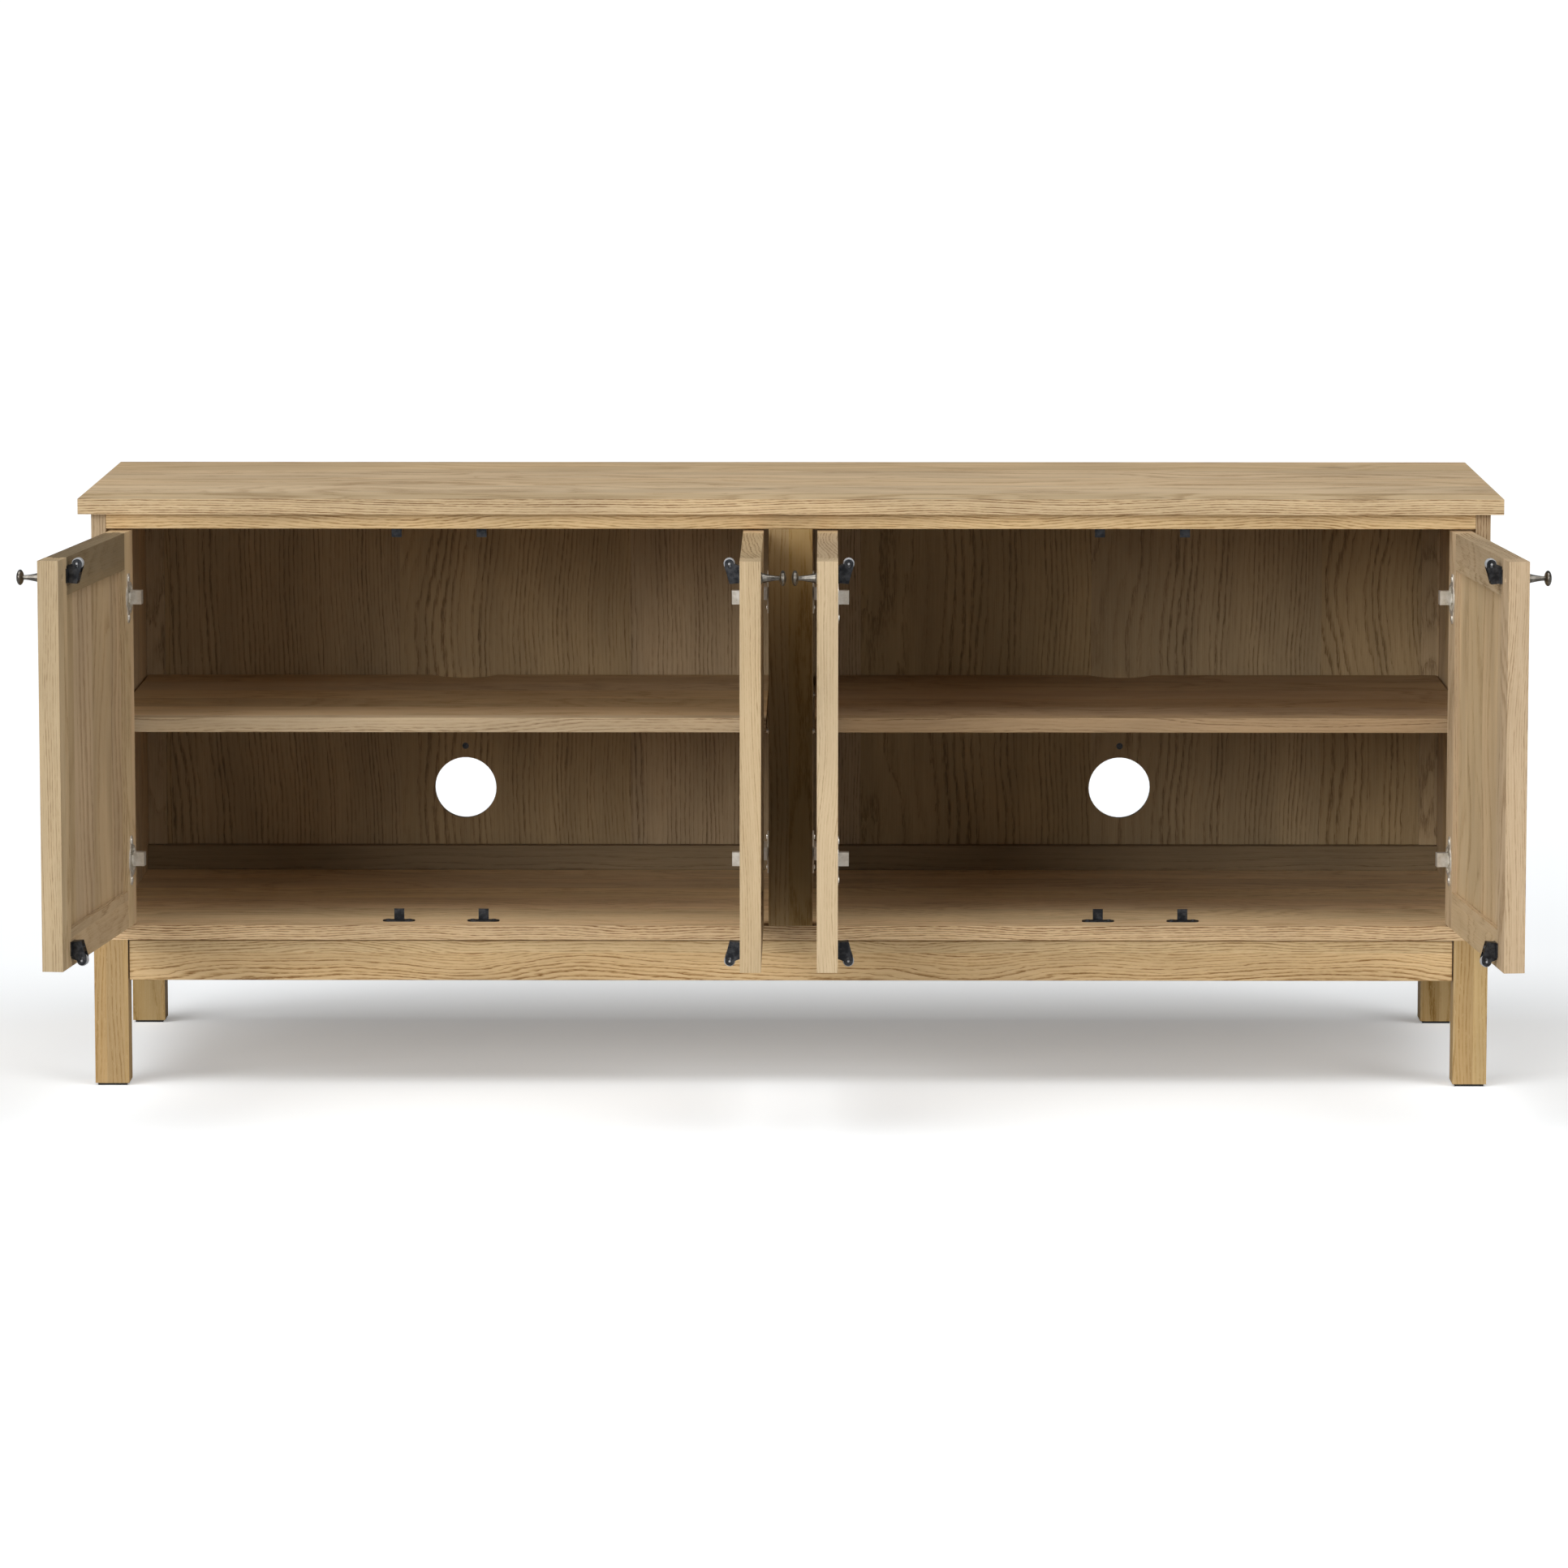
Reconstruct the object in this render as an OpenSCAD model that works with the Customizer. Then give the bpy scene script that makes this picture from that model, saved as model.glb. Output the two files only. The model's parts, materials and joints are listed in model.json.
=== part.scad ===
// Oak media cabinet: two bays, four inset frame-and-panel doors, an adjustable
// shelf in each bay, a screwed-on under-frame with four square legs.
// +X is the viewer's right, +Y the back, +Z up. The origin is on the floor, in
// the middle of the cabinet with its doors open.

/* [Top and carcass] */
// Width of the top slab
slab_w = 1750; // [1600:10:1900]
// Depth of the top slab
slab_d = 550; // [500:10:600]
// Thickness of the top slab and of the panel under it
top_t = 19; // [18:1:22]
// Width over the two side panels
carcass_w = 1720; // [1570:10:1870]
// Depth of the side panels
carcass_d = 530; // [480:10:580]
// Thickness of sides, partitions, bottom and shelves
board_t = 18; // [16:1:20]
// How far the slab stands out over the carcass front
slab_front = 15; // [5:1:25]
// Clear height of the door opening
opening_h = 493; // [400:1:600]
// Width of the stile between the two bays
stile_w = 54; // [44:2:70]
// Thickness of the back panel
back_t = 12; // [6:1:15]
// Gap from the back panel to the rear edge of the side panels
back_inset = 4; // [2:1:8]

/* [Under-frame] */
// Height of the legs with their glides
leg_h = 183; // [140:1:240]
// Width of a square leg
leg_w = 42; // [36:1:50]
// How far a leg stands out past the side panel
leg_proud = 3; // [0:0.5:5]
// Height of the aprons
apron_h = 51; // [40:1:70]
// Setback of an apron from the leg faces
apron_set = 3; // [1:0.5:6]
// Joint gap from an apron to a leg
apron_gap = 1.5; // [0.5:0.5:3]
// Height of the rebate along an apron's top, which leaves a dark line under the carcass
apron_line = 1.5; // [1:0.5:3]
// Thickness of a foot glide
glide_t = 3; // [2:0.5:5]

/* [Interior] */
// Gap from a shelf's end to the wall
shelf_gap = 3; // [2:0.5:5]
// Setback of a shelf's front edge
shelf_set = 28; // [26:1:60]
// Radius of the cable holes in the back
cable_r = 40; // [25:1:50]
// Height of a cable hole's centre above the bottom panel
cable_z = 106; // [60:1:160]
// Distance of a cable hole from the middle of the cabinet
cable_x = 427; // [300:1:560]
// Depth of the cable notch in a shelf
notch_d = 33; // [15:1:38]
// Height of the batten along the foot of the back panel
batten_h = 32; // [20:1:45]

/* [Doors] */
// Thickness of the door frames
door_t = 25; // [22:1:28]
// Gap round a door and between a pair
door_gap = 2; // [1.5:0.5:3]
// Gap where the two doors of a pair meet
meet_gap = 3; // [2:0.5:4]
// Width of door stiles and rails
frame_w = 45; // [38:1:60]
// Thickness of a door panel
panel_t = 10; // [6:1:12]
// Recess of the panel behind the outer face
panel_set = 8.5; // [6:0.5:10]
// Opening angle of the left outer door, as stored
open_left = 97; // [0:0.5:105]
// Opening angle of the two middle doors, as stored
open_middle = 90; // [0:1:90]
// Opening angle of the right outer door, as stored
open_right = 95; // [0:0.5:105]

/* [Hardware] */
// Distance of a hinge's centre from the top or bottom of the opening
hinge_inset = 84; // [60:1:140]
// Distance of a knob from the door's free edge
knob_edge = 22.5; // [18:0.5:30]
// How far a knob stands out
knob_out = 30; // [24:1:36]
// Radius of a knob's head
knob_r = 9.25; // [7:0.25:12]
// Distance of a roller catch from the door's free edge
catch_edge = 51; // [40:1:70]
// Height of a strike's tab
strike_h = 14.5; // [8:0.5:16]

/* [Hidden] */
$fn = 48;
eps = 0.5;

// Heights
z_bottom = leg_h;
z_floor = z_bottom + board_t;
z_ceiling = z_floor + opening_h;
z_slab = z_ceiling + top_t;

// Plan of the carcass, with Y counted from the plane of its front edges
side_x = carcass_w / 2;
bay_out = side_x - board_t;
bay_in = stile_w / 2;
bay_w = bay_out - bay_in;
slab_rear = slab_d - slab_front;
back_y = carcass_d - back_inset - back_t;
cleat_w = 24;
cleat_t = 6;
batten_t = board_t;
shelf_back = back_y - cleat_t - 2;
shelf_z = z_floor + (opening_h - board_t) / 2;
shelf_pin_r = 2.5;
shelf_pin_y = [70, 460];
shelf_pin_in = 8;
leg_x = side_x + leg_proud - leg_w;
apron_t = board_t;
apron_rebate = 3;
glide_w = leg_w - 6;

// Doors, in a frame with X counted from the wall that the door hangs on
door_w = (bay_w - 2 * door_gap - meet_gap) / 2;
door_lo = door_gap;
door_hi = door_gap + door_w;
door_z0 = door_gap;
door_z1 = opening_h - door_gap;
groove_d = 8;
panel_play = 1;
tenon_l = groove_d;
panel_y = panel_set;
pole_x = 9.5;
pole_y = 3.5;
door_reach = door_hi - pole_x - pole_y;
y_front = -(slab_rear - door_reach) / 2;

// Hinges
hinge_z = [hinge_inset, opening_h - hinge_inset];
cup_x = door_lo + 22.5;
cup_r = 17.5;
cup_h = 12;
cup_wall = 1;
flange_t = 1.2;
flange_h = 62;
flange_w = 12;
flange_shift = 6;
flange_hole_z = 24;
hinge_screw_head = 3.6;
link_w = 12;
link_out = 14;
link_h = 17;
arm_y0 = 42;
arm_y1 = 104;
arm_w = 15;
arm_h = 16;
arm_wall = 1.5;
plate_t = 2;
plate_y0 = 52;
plate_y1 = 100;
wing_y = 62;
wing_h = 52;
wing_w = 12;

// Knobs
knob_z = door_z1 - 22;
knob_x = door_hi - knob_edge;
knob_base_r = 6;
knob_neck_r = 2.7;
knob_head_t = 8.5;
knob_screw_r = 2;
knob_recess_r = 4.5;
knob_recess_d = 6;

// Roller catches, with heights counted from the edge of the door
catch_x = door_hi - catch_edge;
catch_w = 14;
catch_base_w = 22;
catch_base_t = 2;
catch_base_lo = 13;
catch_tip = 31;
catch_screw_z = 25;
catch_screw_y = 10;
roller_r = 6.6;
roller_w = 8;
roller_y = 12.6;
roller_z = 7.2;
roller_play = 0.5;
roller_travel = 3;
roller_pin_r = 1.3;
ear_r = 5.4;
stem_w = 6;
stem_l = 10;

// Strikes
strike_y = door_t + roller_y + roller_r + 1.6;
strike_w = 40;
strike_base = 14;
strike_tab_w = 12.5;
strike_t = 1.5;
strike_screw_x = strike_w / 2 - strike_base / 2;

// Screws
bolt_r = 4;
bolt_l = 45;
slab_screw_x = [100, 430, 760];
slab_screw_y = [60, 450];
slab_screw_r = 2;
slab_screw_l = 30;
head_r = 4.2;
head_h = 3;
back_screw_z = 161;

oak = "#C9A878";
oak_edge = "#B8935F";
oak_dark = "#A58458";
nickel = "#C9C9C6";
gunmetal = "#3B3B3D";
pewter = "#5E5A56";

// ---------- helpers ----------

module block(lo, hi) {
    translate(lo) cube(hi - lo);
}

// A rod from point p along Y, running forwards or backwards by l
module rod_y(p, r, l) {
    translate(p) rotate([-90, 0, 0]) cylinder(r = r, h = l);
}

// A rod from point p along X
module rod_x(p, r, l) {
    translate(p) rotate([0, 90, 0]) cylinder(r = r, h = l);
}

module rod_z(p, r, l) {
    translate(p) cylinder(r = r, h = l);
}

// Places children counted from the plane of the front edges
module in_carcass() {
    translate([0, y_front, 0]) children();
}

module both_sides() {
    children();
    mirror([1, 0, 0]) children();
}

module handed(flip) {
    if (flip) mirror([1, 0, 0]) children();
    else children();
}

// The wall that each door hangs on, as [X of the wall, whether the door points to -X, stored angle]
function wall_of(n) =
    n == 1 ? [-bay_out, false, open_left] :
    n == 2 ? [-bay_in, true, open_middle] :
    n == 3 ? [bay_in, false, open_middle] :
    [bay_out, true, open_right];

// Puts children drawn against a wall at X = 0 on door n's wall
module at_wall(n) {
    w = wall_of(n);
    translate([w[0], y_front, z_floor]) handed(w[1]) children();
}

// Puts a closed door's pieces at the door's stored angle
module hung(n) {
    w = wall_of(n);
    at_wall(n) translate([pole_x, pole_y, 0]) rotate([0, 0, -w[2]])
        translate([-pole_x, -pole_y, 0]) children();
}

// Turns a bottom fitting into the matching top one
module at_top() {
    translate([0, 0, opening_h]) mirror([0, 0, 1]) children();
}

// ---------- screws and the holes they need ----------

// Screws that hold the slab, up through the panel under it
module slab_screws(r, head) {
    for (x = slab_screw_x, y = slab_screw_y) both_sides() {
        rod_z([x, y, z_ceiling], r, slab_screw_l);
        rod_z([x, y, z_ceiling], head, head_h);
    }
}

module back_screws(r, head) {
    both_sides() {
        rod_y([cable_x, back_y, z_floor + back_screw_z], r, back_t);
        rod_y([cable_x, back_y, z_floor + back_screw_z], head, head_h);
    }
}

// One bolt in the middle of each leg, up into the bottom panel
module leg_rods(r) {
    for (y = [leg_w / 2, carcass_d - leg_w / 2]) both_sides()
        rod_z([leg_x + leg_w / 2, y, z_bottom + board_t - 6 - bolt_l], r, bolt_l);
}

// Pins under both shelves, with the collar that meets the wall
module shelf_rods(with_collar) {
    z = shelf_z - shelf_pin_r;
    for (y = shelf_pin_y) both_sides() {
        rod_x([bay_out - 12, y, z], shelf_pin_r, 12 + shelf_pin_in);
        rod_x([bay_in - shelf_pin_in, y, z], shelf_pin_r, 12 + shelf_pin_in);
        if (with_collar) {
            rod_x([bay_out - shelf_gap / 2, y, z], shelf_pin_r + 1.5, shelf_gap / 2);
            rod_x([bay_in, y, z], shelf_pin_r + 1.5, shelf_gap / 2);
        }
    }
}

// ---------- carcass ----------

module top_slab() {
    color(oak) in_carcass() difference() {
        block([-slab_w / 2, -slab_front, z_slab], [slab_w / 2, slab_rear, z_slab + top_t]);
        slab_screws(slab_screw_r, slab_screw_r);
    }
}

module upper_panel() {
    color(oak) in_carcass() difference() {
        block([-bay_out, 0, z_ceiling], [bay_out, back_y, z_slab]);
        slab_screws(slab_screw_r, head_r);
    }
}

module side_panel() {
    difference() {
        block([bay_out, 0, z_floor], [side_x, carcass_d, z_slab]);
        shelf_rods(false);
    }
}

module side_left() {
    color(oak) in_carcass() mirror([1, 0, 0]) side_panel();
}

module side_right() {
    color(oak) in_carcass() side_panel();
}

module bottom_panel() {
    color(oak) in_carcass() difference() {
        block([-side_x, 0, z_bottom], [side_x, carcass_d, z_floor]);
        leg_rods(bolt_r);
    }
}

module centre_stile() {
    color(oak_edge) in_carcass()
        block([-bay_in, 0, z_floor], [bay_in, board_t, z_ceiling]);
}

module partition() {
    difference() {
        block([bay_in - board_t, board_t, z_floor], [bay_in, back_y, z_ceiling]);
        shelf_rods(false);
    }
}

module partition_left() {
    color(oak_dark) in_carcass() mirror([1, 0, 0]) partition();
}

module partition_right() {
    color(oak_dark) in_carcass() partition();
}

module back_panel() {
    color(oak_dark) in_carcass() difference() {
        block([-bay_out, back_y, z_floor], [bay_out, back_y + back_t, z_slab]);
        both_sides() rod_y([cable_x, back_y - eps, z_floor + cable_z], cable_r, back_t + 2 * eps);
        back_screws(slab_screw_r, head_r);
    }
}

module back_battens() {
    color(oak_dark) in_carcass() both_sides()
        block([bay_in, back_y - batten_t, z_floor], [bay_out, back_y, z_floor + batten_h]);
}

module back_cleats() {
    color(oak_dark) in_carcass() both_sides()
        block([bay_out - cleat_w, back_y - cleat_t, z_floor + batten_h], [bay_out, back_y, z_ceiling]);
}

module shelf() {
    difference() {
        block([bay_in + shelf_gap, shelf_set, shelf_z], [bay_out - shelf_gap, shelf_back, shelf_z + board_t]);
        rod_z([cable_x, shelf_back + cable_r - notch_d, shelf_z - eps], cable_r, board_t + 2 * eps);
    }
}

module shelf_left() {
    color(oak) in_carcass() mirror([1, 0, 0]) shelf();
}

module shelf_right() {
    color(oak) in_carcass() shelf();
}

module shelf_pins() {
    color(nickel) in_carcass() shelf_rods(true);
}

// ---------- under-frame ----------

module leg(y) {
    difference() {
        block([leg_x, y, glide_t], [leg_x + leg_w, y + leg_w, z_bottom]);
        leg_rods(bolt_r);
    }
}

module leg_front_left() {
    color(oak) in_carcass() mirror([1, 0, 0]) leg(0);
}

module leg_front_right() {
    color(oak) in_carcass() leg(0);
}

module leg_back_left() {
    color(oak) in_carcass() mirror([1, 0, 0]) leg(carcass_d - leg_w);
}

module leg_back_right() {
    color(oak) in_carcass() leg(carcass_d - leg_w);
}

// An apron from lo to hi in plan, set in by rebate along the top of its faces
module apron(lo, hi, rebate) {
    block([lo[0], lo[1], z_bottom - apron_h], [hi[0], hi[1], z_bottom - apron_line]);
    block([lo[0], lo[1], z_bottom - apron_line] + rebate, [hi[0], hi[1], z_bottom] - rebate);
}

// A long apron between two legs, its front face at y
module long_apron(y) {
    x = leg_x - apron_gap;
    apron([-x, y], [x, y + apron_t], [0, apron_rebate, 0]);
}

module apron_front() {
    color(oak) in_carcass() long_apron(apron_set);
}

module apron_back() {
    color(oak) in_carcass() long_apron(carcass_d - apron_set - apron_t);
}

module side_apron() {
    x = leg_x + leg_w - apron_set;
    y = leg_w + apron_gap;
    apron([x - apron_t, y], [x, carcass_d - y], [apron_rebate, 0, 0]);
}

module apron_left() {
    color(oak) in_carcass() mirror([1, 0, 0]) side_apron();
}

module apron_right() {
    color(oak) in_carcass() side_apron();
}

module foot_glides() {
    edge = (leg_w - glide_w) / 2;
    color(gunmetal) in_carcass() for (y = [edge, carcass_d - edge - glide_w]) both_sides()
        block([leg_x + edge, y, 0], [leg_x + edge + glide_w, y + glide_w, glide_t]);
}

module leg_bolts() {
    color(nickel) in_carcass() leg_rods(bolt_r);
}

module carcass_screws() {
    color(gunmetal) in_carcass() {
        slab_screws(slab_screw_r, head_r);
        difference() {
            back_screws(slab_screw_r, head_r);
            // cross slots
            both_sides() translate([cable_x, back_y, z_floor + back_screw_z]) for (a = [0, 90])
                rotate([0, a + 20, 0]) cube([head_r * 1.2, 2, 1], center = true);
        }
    }
}

// ---------- fixed hardware ----------

// A strike on the bottom panel, drawn against a wall at X = 0: a plate with round ends
// and a tab turned up behind the roller
module strike() {
    middle = strike_y - strike_base / 2;
    screws = [catch_x - strike_screw_x, catch_x + strike_screw_x];
    difference() {
        union() {
            block([screws[0], strike_y - strike_base, 0], [screws[1], strike_y, strike_t]);
            for (x = screws) rod_z([x, middle, 0], strike_base / 2, strike_t);
            block([catch_x - strike_tab_w / 2, strike_y, 0],
                  [catch_x + strike_tab_w / 2, strike_y + strike_t, strike_h]);
        }
        for (x = screws) rod_z([x, middle, -eps], 1.5, strike_t + 2 * eps);
    }
    for (x = screws) {
        rod_z([x, middle, 0], 1.45, strike_t);
        rod_z([x, middle, strike_t], 2.8, 1);
    }
}

module catch_strikes() {
    color(gunmetal) for (n = [1:4]) at_wall(n) {
        strike();
        at_top() strike();
    }
}

// Mounting plate screwed to the wall behind one hinge
module hinge_plate() {
    difference() {
        union() {
            block([0, plate_y0, -arm_h / 2], [plate_t, plate_y1, arm_h / 2]);
            block([0, wing_y - wing_w / 2, -wing_h / 2], [plate_t, wing_y + wing_w / 2, wing_h / 2]);
        }
        for (s = [-1, 1]) rod_x([-eps, wing_y, s * (wing_h / 2 - 7)], 1.5, plate_t + 2 * eps);
    }
    for (s = [-1, 1]) {
        rod_x([0, wing_y, s * (wing_h / 2 - 7)], 1.45, plate_t);
        rod_x([plate_t, wing_y, s * (wing_h / 2 - 7)], 3, 1.2);
    }
}

module hinge_plates() {
    color(nickel) for (n = [1:4]) at_wall(n) for (z = hinge_z) translate([0, 0, z]) hinge_plate();
}

// Channel-shaped arm on the plate, with a nose towards the cup
module hinge_arm() {
    difference() {
        block([plate_t, arm_y0, -arm_h / 2], [arm_w, arm_y1, arm_h / 2]);
        block([plate_t - eps, arm_y0 + arm_wall, -arm_h / 2 + arm_wall],
              [arm_w - arm_wall, arm_y1 + eps, arm_h / 2 - arm_wall]);
    }
    block([arm_w, arm_y0, -arm_h / 2 + 2], [arm_w + 9, arm_y0 + 10, arm_h / 2 - 2]);
    rod_x([arm_w, 84, 0], 3.5, 1.2);
    rod_x([arm_w, 70, 0], 3, 1);
}

module hinge_arms() {
    color(nickel) for (n = [1:4]) at_wall(n) for (z = hinge_z) translate([0, 0, z]) hinge_arm();
}

// ---------- door pieces, drawn closed against a wall at X = 0 ----------

module door_stile(x) {
    block([x, 0, door_z0], [x + frame_w, door_t, door_z1]);
}

module panel_groove(lo, hi) {
    block([lo[0], panel_y, lo[1]], [hi[0], panel_y + panel_t, hi[1]]);
}

module cup_bores() {
    for (z = hinge_z) rod_y([cup_x, door_t - cup_h, z], cup_r, cup_h + eps);
}

module knob_bore() {
    rod_y([knob_x, -eps, knob_z], knob_screw_r + 0.3, door_t + 2 * eps);
    rod_y([knob_x, door_t - knob_recess_d, knob_z], knob_recess_r, knob_recess_d + eps);
}

module stiles() {
    difference() {
        union() {
            door_stile(door_lo);
            door_stile(door_hi - frame_w);
        }
        panel_groove([door_lo + frame_w - groove_d, door_z0 - eps], [door_lo + frame_w + eps, door_z1 + eps]);
        panel_groove([door_hi - frame_w - eps, door_z0 - eps], [door_hi - frame_w + groove_d, door_z1 + eps]);
        cup_bores();
        knob_bore();
    }
}

// One rail with its stub tenons; inner is +1 when the panel lies above it
module rail(z, inner) {
    groove_z = inner > 0 ? z + frame_w - groove_d : z - eps;
    difference() {
        union() {
            block([door_lo + frame_w, 0, z], [door_hi - frame_w, door_t, z + frame_w]);
            panel_groove([door_lo + frame_w - tenon_l, z], [door_hi - frame_w + tenon_l, z + frame_w]);
        }
        panel_groove([door_lo, groove_z], [door_hi, groove_z + groove_d + eps]);
        cup_bores();
    }
}

module rails() {
    rail(door_z0, 1);
    rail(door_z1 - frame_w, -1);
}

module panel() {
    inset = frame_w - groove_d + panel_play;
    difference() {
        panel_groove([door_lo + inset, door_z0 + inset], [door_hi - inset, door_z1 - inset]);
        cup_bores();
    }
}

// Outline of a knob, radius against distance from the door's face
module knob_outline() {
    head_y = knob_out - knob_head_t;
    head_c = knob_out - knob_head_t / 2;
    polygon(concat(
        [[0, 0], [knob_base_r + 1, 0], [knob_base_r + 1, 1.2], [knob_base_r, 1.8]],
        [for (t = [0.1:0.15:1])
            [knob_neck_r + (knob_base_r - knob_neck_r) * pow(1 - t, 1.6), 1.8 + t * (head_y - 1.8)]],
        [for (a = [-66:12:90]) [knob_r * cos(a), head_c + knob_head_t / 2 * sin(a)]]
    ));
}

module knob() {
    translate([knob_x, 0, knob_z]) rotate([90, 0, 0]) difference() {
        rotate_extrude() knob_outline();
        translate([0, 0, -eps]) cylinder(r = knob_screw_r + 0.05, h = 14 + eps);
    }
    rod_y([knob_x, -12, knob_z], knob_screw_r, door_t - knob_recess_d + 12);
    rod_y([knob_x, door_t - knob_recess_d, knob_z], knob_recess_r - 0.8, 2.2);
}

module hinge_cup(z) {
    difference() {
        union() {
            rod_y([cup_x, door_t - cup_h, z], cup_r, cup_h + flange_t);
            rod_y([cup_x, door_t, z], cup_r + 2, flange_t);
            block([cup_x + flange_shift - flange_w / 2, door_t, z - flange_h / 2 + 4],
                  [cup_x + flange_shift + flange_w / 2, door_t + flange_t, z + flange_h / 2 - 4]);
            for (s = [-1, 1])
                rod_y([cup_x + flange_shift, door_t, z + s * (flange_h / 2 - 6)], flange_w / 2, flange_t);
        }
        rod_y([cup_x, door_t - cup_h + cup_wall, z], cup_r - cup_wall - 1, cup_h + 2);
    }
    // links in the mouth of the cup and the knuckle they turn on
    block([cup_x - 16, door_t - cup_h + cup_wall, z - link_h / 2 + 3],
          [cup_x - 2, door_t, z + link_h / 2 - 3]);
    block([cup_x - 16.5, door_t, z - link_h / 2], [cup_x - 16.5 + link_w, door_t + link_out, z + link_h / 2]);
    for (s = [-1, 1])
        rod_y([cup_x + flange_shift, door_t + flange_t, z + s * flange_hole_z], hinge_screw_head, 1);
}

module hinge_cups() {
    for (z = hinge_z) hinge_cup(z);
}

// Moves children drawn from the inner face and the bottom edge of the door to a catch's place
module at_catch() {
    translate([catch_x, door_t, door_z0]) children();
}

// Tapered side of a roller catch with a round ear about the roller's pin
module catch_cheeks() {
    translate([-catch_w / 2, 0, 0]) rotate([90, 0, 90]) linear_extrude(catch_w)
        polygon([[0, 10], [roller_y - ear_r, roller_z], [roller_y + ear_r, roller_z],
                 [roller_y + ear_r, 12], [16, 18], [12.5, catch_tip], [0, catch_tip - 1]]);
    rod_x([-catch_w / 2, roller_y, roller_z], ear_r, catch_w);
}

// Room for the roller, its stem and its pin over their travel
module catch_room() {
    half = roller_w / 2 + roller_play;
    top = roller_z + roller_r + roller_travel + 1;
    pin = roller_pin_r + 0.4;
    block([-half, roller_y - roller_r - 1, roller_z - roller_r - 1], [half, roller_y + roller_r + 1, top]);
    block([-half, roller_y - 4, top - eps], [half, roller_y + 2, top + 4]);
    for (z = [roller_z, roller_z + roller_travel]) rod_x([-catch_w, roller_y, z], pin, 2 * catch_w);
    block([-catch_w, roller_y - pin, roller_z], [catch_w, roller_y + pin, roller_z + roller_travel]);
}

// Housing of a roller catch on the bottom edge of the door, with its screw
module catch_housing() {
    difference() {
        union() {
            catch_cheeks();
            block([-catch_base_w / 2, 0, catch_base_lo], [catch_base_w / 2, catch_base_t, catch_tip - 1]);
        }
        catch_room();
        rod_y([0, -eps, catch_screw_z], 1.6, catch_screw_y + 2 * eps);
        rod_y([0, catch_screw_y, catch_screw_z], 3.3, catch_w);
    }
    rod_y([0, 0, catch_screw_z], 1.5, catch_screw_y);
    rod_y([0, catch_screw_y, catch_screw_z], 2.9, 1.2);
}

module catches() {
    at_catch() catch_housing();
    at_top() at_catch() catch_housing();
}

// Roller with its pin and the sprung stem behind it
module roller() {
    at_catch() {
        difference() {
            union() {
                rod_x([-roller_w / 2, roller_y, roller_z], roller_r, roller_w);
                block([-stem_w / 2, roller_y - 3, roller_z], [stem_w / 2, roller_y + 1, roller_z + stem_l]);
            }
            for (x = [-roller_w / 2 - 0.8, roller_w / 2 - 0.8])
                rod_x([x, roller_y, roller_z], roller_r - 1.6, 1.6);
        }
        rod_x([-catch_w / 2 - 0.4, roller_y, roller_z], roller_pin_r, catch_w + 0.8);
    }
}

// ---------- door n ----------

module door_stiles(n) {
    color(oak) hung(n) stiles();
}

module door_rails(n) {
    color(oak) hung(n) rails();
}

module door_panel(n) {
    color(oak_edge) hung(n) panel();
}

module door_knob(n) {
    color(pewter) hung(n) knob();
}

module door_hinge_cups(n) {
    color(nickel) hung(n) hinge_cups();
}

module door_catches(n) {
    color(gunmetal) hung(n) catches();
}

module door_roller_top(n) {
    color(pewter) hung(n) at_top() roller();
}

module door_roller_bottom(n) {
    color(pewter) hung(n) roller();
}

top_slab();
upper_panel();
side_left();
side_right();
bottom_panel();
centre_stile();
partition_left();
partition_right();
back_panel();
back_battens();
back_cleats();
shelf_left();
shelf_right();
shelf_pins();
leg_front_left();
leg_front_right();
leg_back_left();
leg_back_right();
apron_front();
apron_back();
apron_left();
apron_right();
foot_glides();
leg_bolts();
carcass_screws();
catch_strikes();
hinge_plates();
hinge_arms();
for (n = [1:4]) {
    door_stiles(n);
    door_rails(n);
    door_panel(n);
    door_knob(n);
    door_hinge_cups(n);
    door_catches(n);
    door_roller_top(n);
    door_roller_bottom(n);
}
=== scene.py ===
"""Looks, light and camera for the oak media cabinet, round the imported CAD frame."""

import json
import math

import bpy
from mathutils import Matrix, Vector


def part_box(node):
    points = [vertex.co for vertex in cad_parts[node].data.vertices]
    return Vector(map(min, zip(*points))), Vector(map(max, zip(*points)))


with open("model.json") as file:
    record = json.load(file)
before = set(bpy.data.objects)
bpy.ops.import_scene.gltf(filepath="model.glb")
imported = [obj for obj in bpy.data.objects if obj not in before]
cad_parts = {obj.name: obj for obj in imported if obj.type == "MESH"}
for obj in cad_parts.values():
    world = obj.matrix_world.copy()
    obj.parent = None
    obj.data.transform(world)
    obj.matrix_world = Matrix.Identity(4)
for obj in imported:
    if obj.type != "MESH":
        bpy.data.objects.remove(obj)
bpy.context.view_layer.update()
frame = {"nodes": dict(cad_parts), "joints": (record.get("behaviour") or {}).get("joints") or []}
nodes = frame["nodes"]
scene = bpy.context.scene

DOORS = (1, 2, 3, 4)
MM = 0.001


# ---------- shader trees ----------


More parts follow.
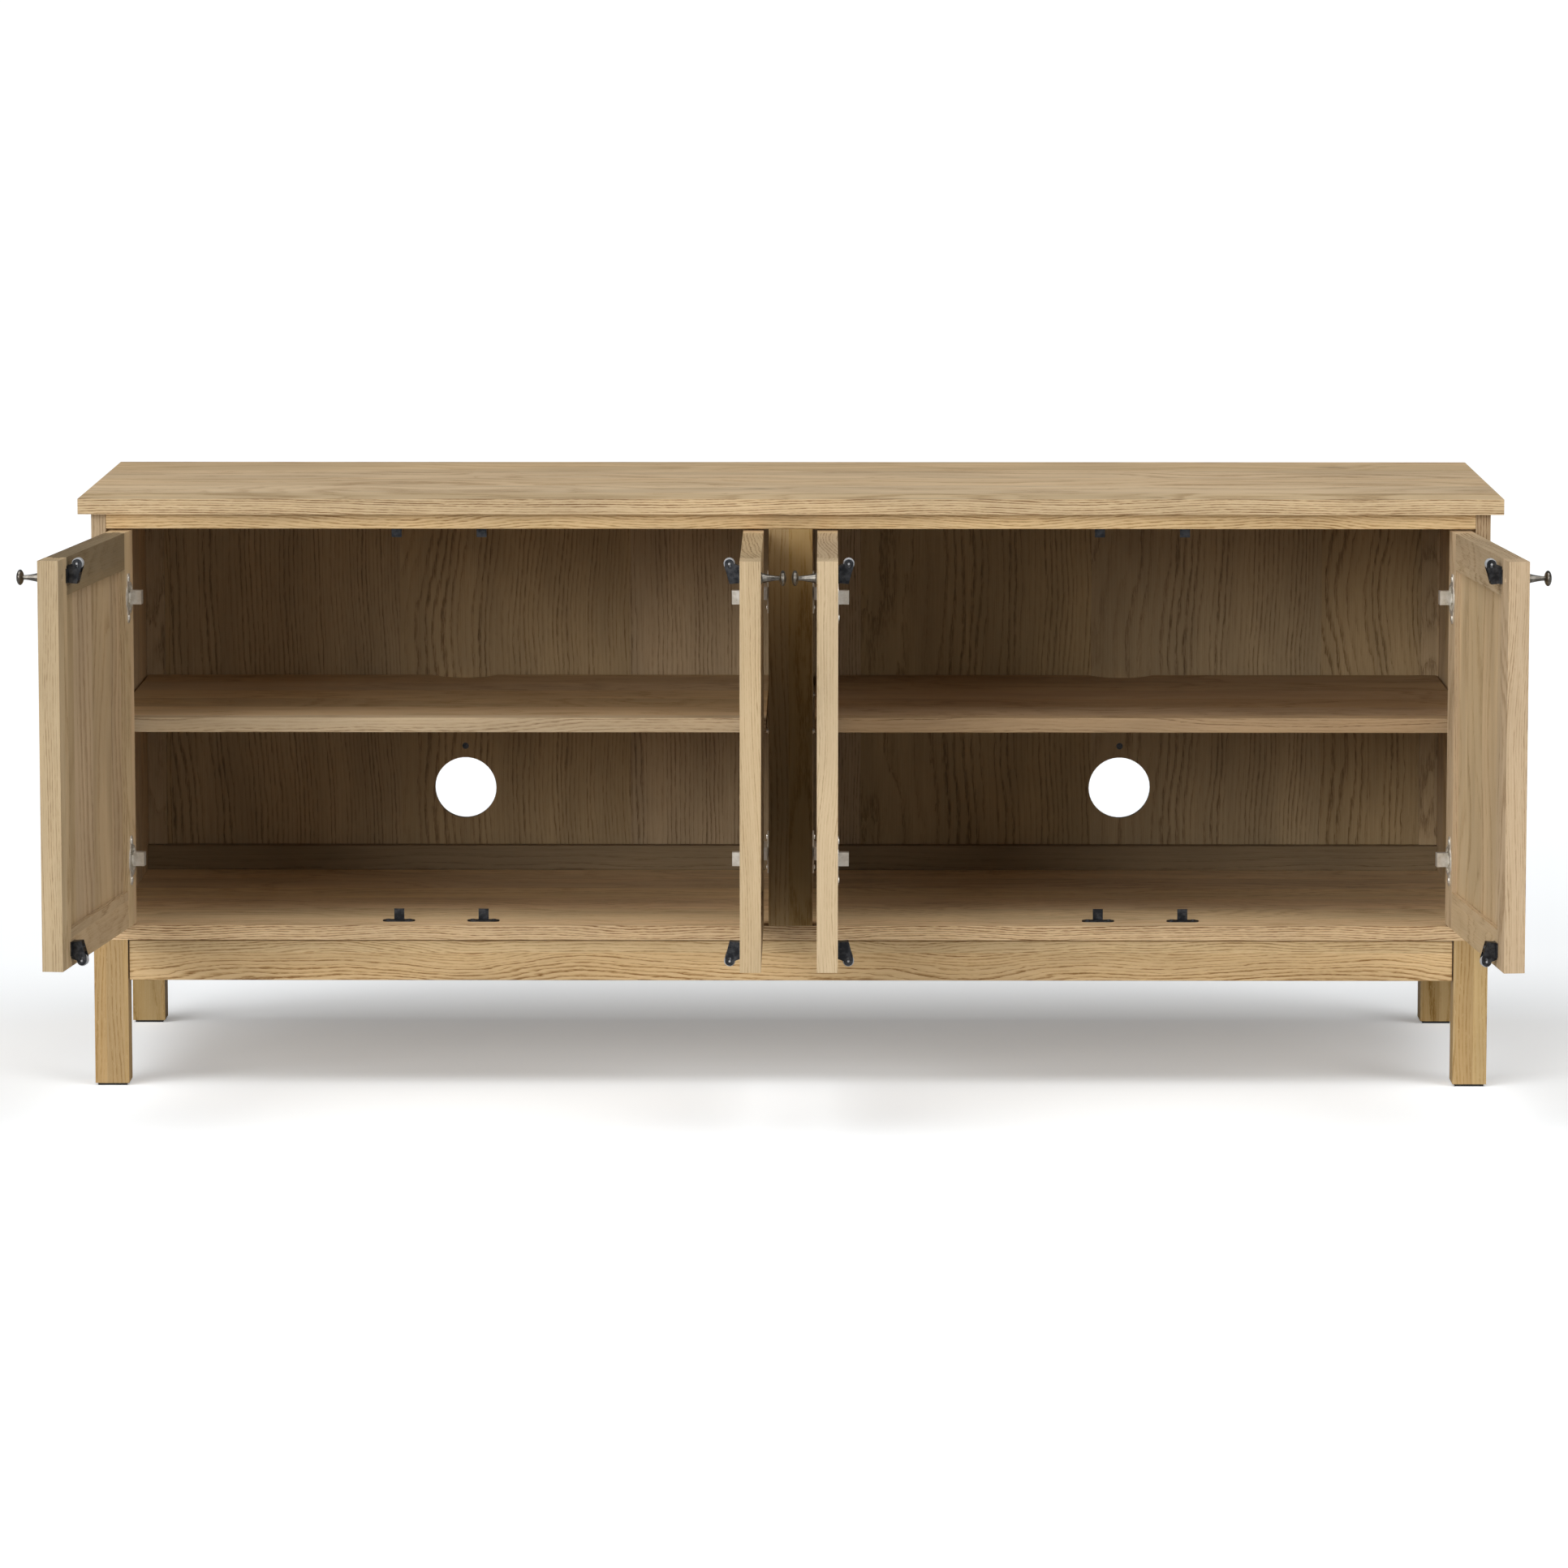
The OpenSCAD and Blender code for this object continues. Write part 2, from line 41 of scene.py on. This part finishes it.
class Tree:
    """A material's node tree, with one call for each node."""

    def __init__(self, name):
        self.material = bpy.data.materials.new(name)
        self.material.use_nodes = True
        self.tree = self.material.node_tree
        self.tree.nodes.clear()

    def add(self, kind, inputs=None, out=0, **settings):
        """Adds a node and returns one of its outputs. Inputs are values or other nodes' outputs."""
        node = self.tree.nodes.new(kind)
        for name, value in settings.items():
            setattr(node, name, value)
        for key, value in (inputs or {}).items():
            if isinstance(value, bpy.types.NodeSocket):
                self.tree.links.new(value, node.inputs[key])
            else:
                node.inputs[key].default_value = value
        return node.outputs[out] if len(node.outputs) else None

    def math(self, operation, a, b=0.0, c=0.0):
        return self.add("ShaderNodeMath", {0: a, 1: b, 2: c}, operation=operation)

    def vector(self, x, y, z):
        return self.add("ShaderNodeCombineXYZ", {0: x, 1: y, 2: z})

    def turned(self, vector, angle):
        """vector turned about Z."""
        inputs = {"Vector": vector, "Angle": angle}
        return self.add("ShaderNodeVectorRotate", inputs, rotation_type="Z_AXIS")

    def noise(self, vector, scale=1.0, detail=2.0, roughness=0.5):
        inputs = {"Vector": vector, "Scale": scale, "Detail": detail, "Roughness": roughness}
        return self.add("ShaderNodeTexNoise", inputs)

    def ranged(self, value, low, high, to_low=0.0, to_high=1.0, smooth=True):
        """value from low..high to to_low..to_high, held at the ends."""
        kind = "SMOOTHSTEP" if smooth else "LINEAR"
        inputs = {0: value, 1: low, 2: high, 3: to_low, 4: to_high}
        return self.add("ShaderNodeMapRange", inputs, interpolation_type=kind)

    def mix(self, factor, a, b, blend="MIX"):
        inputs = {0: factor, 6: a, 7: b}
        return self.add("ShaderNodeMix", inputs, out=2, data_type="RGBA", blend_type=blend)

    def shade(self, colour, roughness, height=None, bump=0.2, distance=0.0004, **fixed):
        """Ends the tree in a principled shader; fixed holds plain values for its sockets."""
        inputs = {"Base Color": colour, "Roughness": roughness}
        inputs.update({key.replace("_", " "): value for key, value in fixed.items()})
        if height is not None:
            ups = {"Strength": bump, "Distance": distance, "Height": height}
            inputs["Normal"] = self.add("ShaderNodeBump", ups)
        shader = self.add("ShaderNodeBsdfPrincipled", inputs)
        self.add("ShaderNodeOutputMaterial", {"Surface": shader})
        return self.material


def srgb(r, g, b):
    """An 8-bit display colour as linear RGBA."""
    def linear(v):
        v /= 255
        return v / 12.92 if v <= 0.04045 else ((v + 0.055) / 1.055) ** 2.4
    return (linear(r), linear(g), linear(b), 1.0)


# ---------- oak ----------

OAK = {
    "light": srgb(206, 181, 146),
    "middle": srgb(190, 162, 124),
    "dark": srgb(124, 92, 60),
}
# the veneer inside the cabinet: its colours are set darker than the oak's, partly as painted shade for
# the dim inside of the cabinet
VENEER_WITH_PAINTED_SHADE = {
    "light": srgb(184, 160, 124),
    "middle": srgb(160, 134, 98),
    "dark": srgb(76, 56, 33),
}
RUSSET = {
    "light": srgb(174, 147, 115),
    "middle": srgb(154, 126, 94),
    "dark": srgb(96, 70, 47),
}
KNOT = srgb(74, 50, 32)
OILED = 0.56  # roughness of the finish
ORIGIN = 7000  # shifts row coordinates, in mm, so that stave numbers stay positive
DOOR_MIDDLE = 0.45  # height of the doors' middle above the floor


def oak(name, axes, seed, colours=OAK, stave=90, contrast=0.5, edge=0.85, ring=4.2, wander=1.0,
        depth=20, turn=0.0, knots=0.0, tone=1.0, warmth=1.0, rays=0.2, line=0.6, rift=0.0,
        high=1.0):
    """Sawn oak: growth rings about a pith under each stave, pores, rays and knots.

    axes names the row axes along the grain, across the board and through it. stave, ring and
    depth (of the pith) are in mm, and line is the dark share of a ring. wander scales the
    pith's drift, knots is the chance of a knot in each patch, rays is the strength of the pale
    flecks, and tone and warmth scale the brightness and the saturation.
    rift moves the pith aside, in mm, for straighter lines. contrast is for the faces and edge
    for the edges. turn undoes the angle at which a door is stored, and high is the tone of the
    wood above the middle of the doors, which lets a top rail differ from a bottom one.
    """
    t = Tree(name)
    place = t.add("ShaderNodeTexCoord", out=3)
    normal = t.add("ShaderNodeTexCoord", out=1)
    if turn:
        place = t.turned(place, turn)
        normal = t.turned(normal, turn)
    split = t.add("ShaderNodeSeparateXYZ", {0: place}).node
    along, across, through = (
        t.math("MULTIPLY", split.outputs["XYZ".index(axis)], 1 / MM) for axis in axes
    )
    facing = t.add("ShaderNodeSeparateXYZ", {0: normal}).node.outputs["XYZ".index(axes[2])]
    face = t.ranged(t.math("ABSOLUTE", facing), 0.4, 0.8)

    # each stave of the lamination has a random tone, pith and shift along the grain
    index = t.math("FLOOR", t.math("DIVIDE", t.math("ADD", across, 0.37 * stave + ORIGIN), stave))
    dice = t.add("ShaderNodeTexWhiteNoise", {"W": t.math("ADD", index, seed * 17.3)}, out=1,
                 noise_dimensions="1D")
    aim, deep, shade = t.add("ShaderNodeSeparateXYZ", {0: dice}).node.outputs
    middle = t.math("MULTIPLY_ADD", t.math("ADD", index, 0.13), stave, -ORIGIN)
    along = t.math("ADD", t.math("MULTIPLY_ADD", shade, 3000, seed * 331.0), along)

    def stretched(lengthways, crossways, part=0.0):
        """Coordinates for a noise: so many features a mm along the grain and across it."""
        return t.vector(t.math("MULTIPLY_ADD", along, lengthways, part),
                        t.math("MULTIPLY", across, crossways),
                        t.math("MULTIPLY_ADD", through, crossways, seed))

    def sway(lengthways, reach, part):
        """A slow drift in mm along the stave, the same right across it."""
        slow = t.vector(t.math("MULTIPLY", along, lengthways), t.math("MULTIPLY", index, 3.7),
                        seed + part)
        drift = t.math("SUBTRACT", t.noise(slow, 1.0, 1.0), 0.5)
        return t.math("MULTIPLY", drift, reach * wander)

    # rings are circles about a pith that wanders slowly along the stave
    aside = t.math("SUBTRACT", t.math("SUBTRACT", across, middle),
                   t.math("MULTIPLY", t.math("SUBTRACT", aim, 0.5), 1.1 * stave))
    aside = t.math("ADD", t.math("ADD", aside, rift), sway(0.0030, 90, 0))
    below = t.math("ADD", t.math("MULTIPLY_ADD", deep, depth, 0.35 * depth), through)
    below = t.math("ADD", below, sway(0.0026, 70, 9))
    square = t.math("ADD", t.math("MULTIPLY", aside, aside), t.math("MULTIPLY", below, below))
    ripple = t.math("SUBTRACT", t.noise(stretched(0.008, 0.05), 1.0, 2.0), 0.5)
    shiver = t.math("SUBTRACT", t.noise(stretched(0.05, 0.25, 40), 1.0, 2.0), 0.5)
    radius = t.math("ADD", t.math("SQRT", square), t.math("MULTIPLY", ripple, 9 * wander))
    radius = t.math("ADD", radius, t.math("MULTIPLY", shiver, 0.8 + 1.4 * wander))
    turns = t.math("DIVIDE", radius, ring)
    if knots:
        turns, knot = knot_field(t, along, across, turns, seed, knots)
    phase = t.math("FRACT", turns)
    year = t.add("ShaderNodeTexWhiteNoise", {"W": t.math("FLOOR", turns)}, noise_dimensions="1D")

    # early wood is a dark, porous line that fades into pale late wood
    early = t.math("MAXIMUM", t.ranged(phase, 0.02, line, 1.0, 0.0),
                   t.ranged(phase, 1.0 - 0.33 * line, 1.0))
    early = t.math("MULTIPLY", early, t.ranged(year, 0.0, 1.0, 0.15, 1.0, smooth=False))
    broken = t.noise(stretched(0.07, 0.75, 11), 1.0, 3.0, 0.6)
    early = t.math("MULTIPLY", early, t.ranged(broken, 0.34, 0.62, 0.25, 1.15))
    fibre = t.noise(stretched(0.012, 0.9, 5), 1.0, 4.0, 0.65)
    pores = t.ranged(t.noise(stretched(0.13, 2.4, 23), 1.0, 2.0, 0.6), 0.54, 0.68)
    pores = t.math("MULTIPLY", pores, t.math("MULTIPLY_ADD", early, 0.85, 0.15))
    flecks = t.ranged(t.noise(stretched(0.16, 0.45, 31), 1.0, 1.0, 0.4), 0.62, 0.74)

    strength = t.math("MULTIPLY_ADD", face, contrast - edge, edge)
    grey = t.math("SUBTRACT", fibre, 0.5)
    mixed = t.math("ADD", t.math("MULTIPLY", early, strength), t.math("MULTIPLY_ADD", grey, 0.8, 0.12))
    wood = t.mix(t.ranged(mixed, 0.0, 0.45, smooth=False), colours["light"], colours["middle"])
    wood = t.mix(t.ranged(mixed, 0.25, 1.10, smooth=False), wood, colours["dark"])
    wood = t.mix(t.math("MULTIPLY", t.math("MULTIPLY", pores, strength), 0.8), wood, colours["dark"])
    wood = t.mix(t.math("MULTIPLY", flecks, rays), wood, colours["light"])

    # slow changes of tone and warmth over a board, and from stave to stave
    cloud = t.noise(stretched(0.004, 0.018, 3), 1.0, 3.0)
    value = t.math("ADD", t.ranged(cloud, 0.3, 0.7, -0.10, 0.10),
                   t.ranged(shade, 0.0, 1.0, -0.05, 0.05))
    level = t.ranged(split.outputs["Z"], DOOR_MIDDLE - 0.05, DOOR_MIDDLE + 0.05, tone, tone * high)
    inputs = {"Hue": t.ranged(aim, 0.0, 1.0, 0.498, 0.505, smooth=False),
              "Saturation": t.ranged(deep, 0.0, 1.0, 0.93 * warmth, 1.07 * warmth, smooth=False),
              "Value": t.math("MULTIPLY", t.math("ADD", value, 1.0), level), "Color": wood}
    wood = t.add("ShaderNodeHueSaturation", inputs)
    height = t.math("SUBTRACT", t.math("MULTIPLY", fibre, 0.3), pores)
    if knots:
        wood = t.mix(knot, wood, KNOT)
        height = t.math("SUBTRACT", height, knot)
    gloss = t.math("MULTIPLY_ADD", pores, 0.18, OILED)
    gloss = t.math("MULTIPLY_ADD", grey, 0.12, gloss)
    return t.shade(wood, gloss, height, bump=0.35, distance=0.00025, Specular_IOR_Level=0.3)


def knot_field(t, along, across, turns, seed, share):
    """Scattered knots: the rings bend round them, with a dark heart and a split along the grain."""
    spot = t.vector(t.math("MULTIPLY", along, 0.0042), t.math("MULTIPLY", across, 0.0105), seed * 2.9)
    cell = t.add("ShaderNodeTexVoronoi", {"Vector": spot, "Scale": 1.0, "Randomness": 1.0})
    chance, size = t.add("ShaderNodeSeparateXYZ", {0: cell.node.outputs["Color"]}).node.outputs[:2]
    present = t.math("LESS_THAN", chance, share)
    distance = t.math("DIVIDE", cell, t.math("MULTIPLY_ADD", size, 0.8, 0.45))
    turns = t.math("ADD", turns, t.math("MULTIPLY", t.ranged(distance, 0.0, 0.34, 1.0, 0.0), present))
    fine = t.vector(t.math("MULTIPLY", along, 0.05), t.math("MULTIPLY", across, 0.5), seed)
    grit = t.noise(fine, 1.0, 3.0)
    heart = t.math("MULTIPLY", t.ranged(distance, 0.02, 0.13, 1.0, 0.0), t.ranged(grit, 0.36, 0.62))
    core = t.ranged(distance, 0.012, 0.035, 0.75, 0.0)
    dark = t.math("MULTIPLY", t.math("MAXIMUM", t.math("MULTIPLY", heart, 0.8), core), present)
    return turns, dark


# ---------- metal and plastic ----------


def metal(name, colour, worn, rough, metallic=1.0):
    """Plated or cast metal: brushed micro-scratches, mottled gloss and a lighter rubbed tone."""
    t = Tree(name)
    place = t.add("ShaderNodeTexCoord", out=3)
    mottle = t.noise(place, 147.0, 4.0, 0.6)
    scratch = t.add("ShaderNodeMapping", {"Vector": place, "Scale": (2520.0, 2520.0, 210.0)})
    scratch = t.noise(scratch, 1.0, 2.0)
    tint = t.mix(t.ranged(mottle, 0.38, 0.68), colour, worn)
    gloss = t.ranged(mottle, 0.3, 0.7, rough - 0.07, rough + 0.09, smooth=False)
    gloss = t.math("ADD", gloss, t.ranged(scratch, 0.3, 0.7, -0.03, 0.05, smooth=False))
    height = t.math("ADD", scratch, mottle)
    return t.shade(tint, gloss, height, bump=0.12, distance=0.0001, Metallic=metallic)


def plastic(name, colour, rough):
    """Moulded plastic with a fine spark-eroded texture."""
    t = Tree(name)
    place = t.add("ShaderNodeTexCoord", out=3)
    grain = t.noise(place, 2600.0, 3.0, 0.6)
    lift = tuple(min(1.0, c * 1.6 + 0.004) for c in colour[:3]) + (1.0,)
    tint = t.mix(t.ranged(grain, 0.35, 0.7), colour, lift)
    gloss = t.ranged(grain, 0.3, 0.7, rough - 0.05, rough + 0.08)
    return t.shade(tint, gloss, grain, bump=0.2, distance=0.0001)


def dress(node_name, material):
    """Gives a CAD node its material."""
    slots = nodes[node_name].data.materials
    slots.clear()
    slots.append(material)


def ease(node_name, width, segments=2):
    """Rounds a CAD node's sharp edges a little, as sanding does."""
    obj = nodes[node_name]
    weld = obj.modifiers.new("weld", "WELD")
    weld.merge_threshold = 0.00002
    bevel = obj.modifiers.new("ease", "BEVEL")
    bevel.width = width * MM
    bevel.segments = segments
    bevel.limit_method = "ANGLE"
    bevel.angle_limit = math.radians(40)
    bevel.harden_normals = True


def door_turn(n):
    """The angle about Z, in radians, that brings door n from its stored pose to closed."""
    joint = next(j for j in frame["joints"] if j["name"] == f"door_{n}_swing")
    return math.radians(joint["range_deg"][1]) * joint["axis"][2]


# grain direction, board width and thickness axes, then what differs from the usual oak
WARM_LEG = dict(stave=22, rays=0.8, warmth=1.3, tone=0.80, contrast=0.5, rift=110, line=0.5, wander=0.5)
BOARDS = {
    "top_slab": ("XYZ", dict(stave=110, contrast=0.5, edge=1.2, knots=0.75, depth=30, ring=3.0,
                             wander=0.35, rift=40, tone=1.06)),
    # the upper panel is toned lighter as painted light, making up for the shadow that the slab's
    # overhang casts on its edge
    "upper_panel": ("XYZ", dict(edge=0.85, warmth=1.15, tone=1.3, ring=3.4)),
    "bottom_panel": ("XYZ", dict(contrast=0.4, edge=1.3, ring=3.0, tone=1.2, wander=0.8)),
    "side_left": ("ZYX", dict(contrast=0.45, tone=0.9, wander=0.45, rift=40, ring=3.6)),
    "side_right": ("ZYX", dict(contrast=0.45, tone=0.86, wander=0.45, rift=40, ring=3.6)),
    # the centre stile is toned darker as painted shade, for the shade in the narrow gap between the
    # open doors
    "centre_stile": ("ZXY", dict(stave=60, tone=0.6, warmth=1.25, wander=0.4, rift=40)),
    "partition_left": ("ZYX", dict(colours=VENEER_WITH_PAINTED_SHADE)),
    "partition_right": ("ZYX", dict(colours=VENEER_WITH_PAINTED_SHADE)),
    "back_panel": ("ZXY", dict(colours=VENEER_WITH_PAINTED_SHADE, stave=300, contrast=0.55, ring=3.2, rift=290, wander=0.5,
                               line=0.5, tone=0.92)),
    "back_battens": ("XZY", dict(colours=VENEER_WITH_PAINTED_SHADE, stave=60, tone=0.52, rift=220, wander=0.3,
                                 contrast=0.35)),
    "back_cleats": ("ZXY", dict(colours=VENEER_WITH_PAINTED_SHADE, stave=60)),
    "shelf_left": ("XYZ", dict(contrast=0.4, edge=0.6, tone=0.88)),
    "shelf_right": ("XYZ", dict(colours=RUSSET, contrast=0.4, edge=0.6)),
    "leg_front_left": ("ZXY", WARM_LEG),
    "leg_front_right": ("ZXY", WARM_LEG),
    "leg_back_left": ("ZXY", WARM_LEG),
    "leg_back_right": ("ZXY", WARM_LEG),
    "apron_front": ("XZY", dict(stave=90, contrast=1.0, warmth=1.1, ring=3.2, tone=1.03, wander=0.8)),
    "apron_back": ("XZY", dict(stave=90, warmth=1.15)),
    "apron_left": ("YZX", dict(stave=90, warmth=1.15)),
    "apron_right": ("YZX", dict(stave=90, warmth=1.15)),
}
for order, (board, (axes, looks)) in enumerate(BOARDS.items()):
    dress(board, oak(board + "_oak", axes, order + 1.5, **looks))
    if board != "back_panel":  # its edges lie in rebates
        ease(board, 0.9)

# the tones of each door's stiles, rails and panel, and of its top rail against the bottom one
DOOR_TONES = {
    # door 1's panel is toned darker as painted shade, for the dimmer light that falls on its inner face
    1: (0.94, 0.82, 0.80, 0.50),
    2: (0.98, 0.86, 0.90, 0.95),
    3: (0.96, 0.90, 0.90, 1.0),
    4: (0.88, 0.86, 0.96, 0.96),
}
for n, (stile_tone, rail_tone, panel_tone, top_rail) in DOOR_TONES.items():
    turn = door_turn(n)
    dress(f"door_{n}_stiles", oak(f"door_{n}_stile_oak", "ZXY", 30.5 + n, stave=60, turn=turn,
                                  tone=stile_tone, edge=0.45, ring=3.0, rift=45, wander=0.6))
    dress(f"door_{n}_rails", oak(f"door_{n}_rail_oak", "XZY", 40.5 + n, stave=60, turn=turn,
                                 tone=rail_tone, high=top_rail))
    dress(f"door_{n}_panel", oak(f"door_{n}_panel_oak", "ZXY", 50.5 + n, stave=100, turn=turn,
                                 tone=panel_tone, knots=0.15, rift=110, wander=0.35,
                                 contrast=0.42))
    for piece in ("stiles", "rails", "panel"):
        ease(f"door_{n}_{piece}", 0.8)

nickel = metal("nickel_plate", srgb(224, 219, 208), srgb(240, 236, 228), 0.34, metallic=0.75)
gunmetal = metal("gunmetal_plate", srgb(54, 56, 60), srgb(86, 88, 92), 0.42)
pewter = metal("dark_pewter", srgb(112, 107, 100), srgb(150, 145, 136), 0.32)
roller_grey = plastic("roller_plastic", srgb(165, 167, 170), 0.4)
glide_black = plastic("glide_plastic", srgb(24, 24, 25), 0.6)
for node_name in ("shelf_pins", "leg_bolts", "hinge_plates", "hinge_arms"):
    dress(node_name, nickel)
for node_name in ("carcass_screws", "catch_strikes"):
    dress(node_name, gunmetal)
dress("foot_glides", glide_black)
for n in DOORS:
    dress(f"door_{n}_knob", pewter)
    dress(f"door_{n}_hinge_cups", nickel)
    dress(f"door_{n}_catches", gunmetal)
    dress(f"door_{n}_roller_top", roller_grey)
    dress(f"door_{n}_roller_bottom", roller_grey)
for node_name in ("hinge_plates", "hinge_arms", "catch_strikes", "foot_glides"):
    ease(node_name, 0.35)
for n in DOORS:
    ease(f"door_{n}_hinge_cups", 0.3)
    ease(f"door_{n}_catches", 0.5)


# ---------- floor, light and camera ----------


def pale_floor():
    """A wide white sheet that glows faintly to the eye and throws little light back."""
    bpy.ops.mesh.primitive_circle_add(vertices=96, radius=90, fill_type="NGON")
    floor = bpy.context.object
    floor.name = "studio_floor"
    t = Tree("studio_white")
    seen = t.add("ShaderNodeLightPath")
    tint = t.mix(seen, (0.55, 0.55, 0.55, 1), (0.92, 0.945, 0.965, 1))
    glow = t.mix(seen, (0.0, 0.0, 0.0, 1), (0.235, 0.235, 0.235, 1))
    sheet = t.shade(tint, 0.9, Specular_IOR_Level=0.0, Emission_Color=glow, Emission_Strength=1.0)
    floor.data.materials.append(sheet)


def sun(name, place, softness, power):
    """An even light from the direction of place, softness degrees wide."""
    data = bpy.data.lights.new(name, "SUN")
    data.angle = math.radians(softness)
    data.energy = power
    lamp = bpy.data.objects.new(name, data)
    lamp.rotation_euler = (-Vector(place)).to_track_quat("-Z", "Y").to_euler()
    scene.collection.objects.link(lamp)


def studio_world(seen, given):
    """A white room: seen is its brightness to the camera and given its light on the object."""
    world = bpy.data.worlds.new("studio_world")
    world.use_nodes = True
    tree = world.node_tree
    back = tree.nodes["Background"]
    path = tree.nodes.new("ShaderNodeLightPath")
    level = tree.nodes.new("ShaderNodeMapRange")
    level.inputs["To Min"].default_value = given
    level.inputs["To Max"].default_value = seen
    tree.links.new(path.outputs["Is Camera Ray"], level.inputs["Value"])
    tree.links.new(level.outputs[0], back.inputs["Strength"])
    back.inputs["Color"].default_value = (1, 1, 1, 1)
    scene.world = world


def add_camera():
    """A long lens above the cabinet's top, a little to the right of its middle."""
    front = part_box("side_left")[0].y
    data = bpy.data.cameras.new("camera")
    data.lens = 165.0
    data.clip_end = 300
    camera = bpy.data.objects.new("camera", data)
    camera.location = (0.044, front - 8.8, 1.509)
    aim = Vector((-0.008, front, 0.378))
    camera.rotation_euler = (aim - camera.location).to_track_quat("-Z", "Y").to_euler()
    scene.collection.objects.link(camera)
    scene.camera = camera


pale_floor()
studio_world(1.0, 0.08)
sun("high_left_sun", (-0.45, -0.30, 1.0), 40, 1.18)
sun("high_right_sun", (0.45, -0.30, 1.0), 40, 0.92)
sun("low_left_sun", (-1.0, -0.95, 0.42), 35, 1.05)
sun("low_right_sun", (1.0, -0.95, 0.42), 35, 0.82)
sun("front_sun", (-0.42, -1.0, 0.29), 20, 0.70)
add_camera()
scene.view_settings.view_transform = "Standard"
